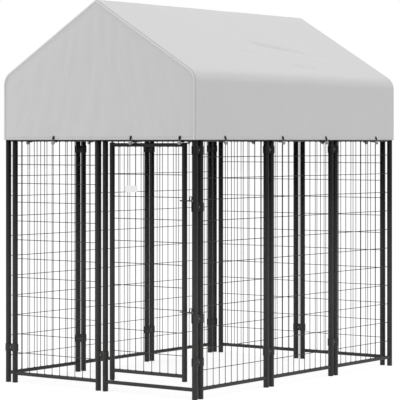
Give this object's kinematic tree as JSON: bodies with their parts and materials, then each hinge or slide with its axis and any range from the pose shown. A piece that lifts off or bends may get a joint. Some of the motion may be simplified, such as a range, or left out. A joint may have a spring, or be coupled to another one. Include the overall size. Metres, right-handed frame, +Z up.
{
  "type": "dog kennel run",
  "caption": "Outdoor dog kennel run of clamped welded-wire panels with a pivoting latched door and a gable cloth canopy tied over a tube roof frame.",
  "frame": {"origin": "on the ground, in the middle of the run's footprint", "axes": "+Z up, +X to the right seen from the door end, -Y towards the door end, ridge along Y"},
  "size_m": [1.2706, 1.8726, 1.9439],
  "materials": {
    "frame_coat": "satin charcoal powder coat on steel tube",
    "mesh_wire": "satin charcoal powder coat on welded wire",
    "black_plastic": "moulded black plastic",
    "zinc_steel": "zinc plated",
    "canopy_cloth": "pale grey coated woven cloth",
    "elastic_cord": "black braided elastic",
    "ball_plastic": "pale grey moulded plastic",
    "eyelet_black": "black pressed eyelet",
    "plate_white": "blank white plate"
  },
  "bodies": {
    "kennel": {"front_panel_frame": "frame_coat", "front_panel_mesh": "mesh_wire", "door_panel_frame": "frame_coat", "right_panel_1_frame": "frame_coat", "right_panel_2_frame": "frame_coat", "right_panel_3_frame": "frame_coat", "right_panel_1_mesh": "mesh_wire", "right_panel_2_mesh": "mesh_wire", "right_panel_3_mesh": "mesh_wire", "left_panel_1_frame": "frame_coat", "left_panel_2_frame": "frame_coat", "left_panel_3_frame": "frame_coat", "left_panel_1_mesh": "mesh_wire", "left_panel_2_mesh": "mesh_wire", "left_panel_3_mesh": "mesh_wire", "back_panel_1_frame": "frame_coat", "back_panel_2_frame": "frame_coat", "back_panel_1_mesh": "mesh_wire", "back_panel_2_mesh": "mesh_wire", "corner_post": "frame_coat", "foot_plugs": "black_plastic", "top_plugs": "black_plastic", "clamp_outer_halves": "frame_coat", "clamp_inner_halves": "frame_coat", "clamp_bolts": "zinc_steel", "clamp_nuts": "zinc_steel", "lower_pivot_pin": "zinc_steel", "upper_pivot_pin": "zinc_steel", "upper_latch_bracket": "frame_coat", "lower_latch_bracket": "frame_coat", "latch_rivets": "zinc_steel", "roof_legs": "frame_coat", "eave_elbows": "frame_coat", "rafters": "frame_coat", "ridge_connectors": "frame_coat", "ridge_tubes": "frame_coat", "canopy_roof": "canopy_cloth", "canopy_front": "canopy_cloth", "canopy_back": "canopy_cloth", "hem_eyelets": "eyelet_black", "tie_elastics": "elastic_cord", "tie_balls": "ball_plastic"},
    "door": {"door_frame": "frame_coat", "door_mesh": "mesh_wire", "door_bushes": "black_plastic", "door_end_plugs": "black_plastic", "door_plate": "plate_white"},
    "upper_latch": {"upper_latch_arm": "frame_coat"},
    "lower_latch": {"lower_latch_arm": "frame_coat"}
  },
  "joints": [
    {"name": "door_swing", "type": "hinge", "parent": "kennel", "child": "door", "pos_m": [0.09, -0.903, 0.65], "axis": [0, 0, 1], "range_deg": [0, 140]},
    {"name": "upper_latch_lift", "type": "hinge", "parent": "kennel", "child": "upper_latch", "pos_m": [0.602, -0.9229, 0.958], "axis": [0, 1, 0], "range_deg": [0, 100]},
    {"name": "lower_latch_lift", "type": "hinge", "parent": "kennel", "child": "lower_latch", "pos_m": [0.602, -0.9229, 0.421], "axis": [0, 1, 0], "range_deg": [0, 100]}
  ]
}
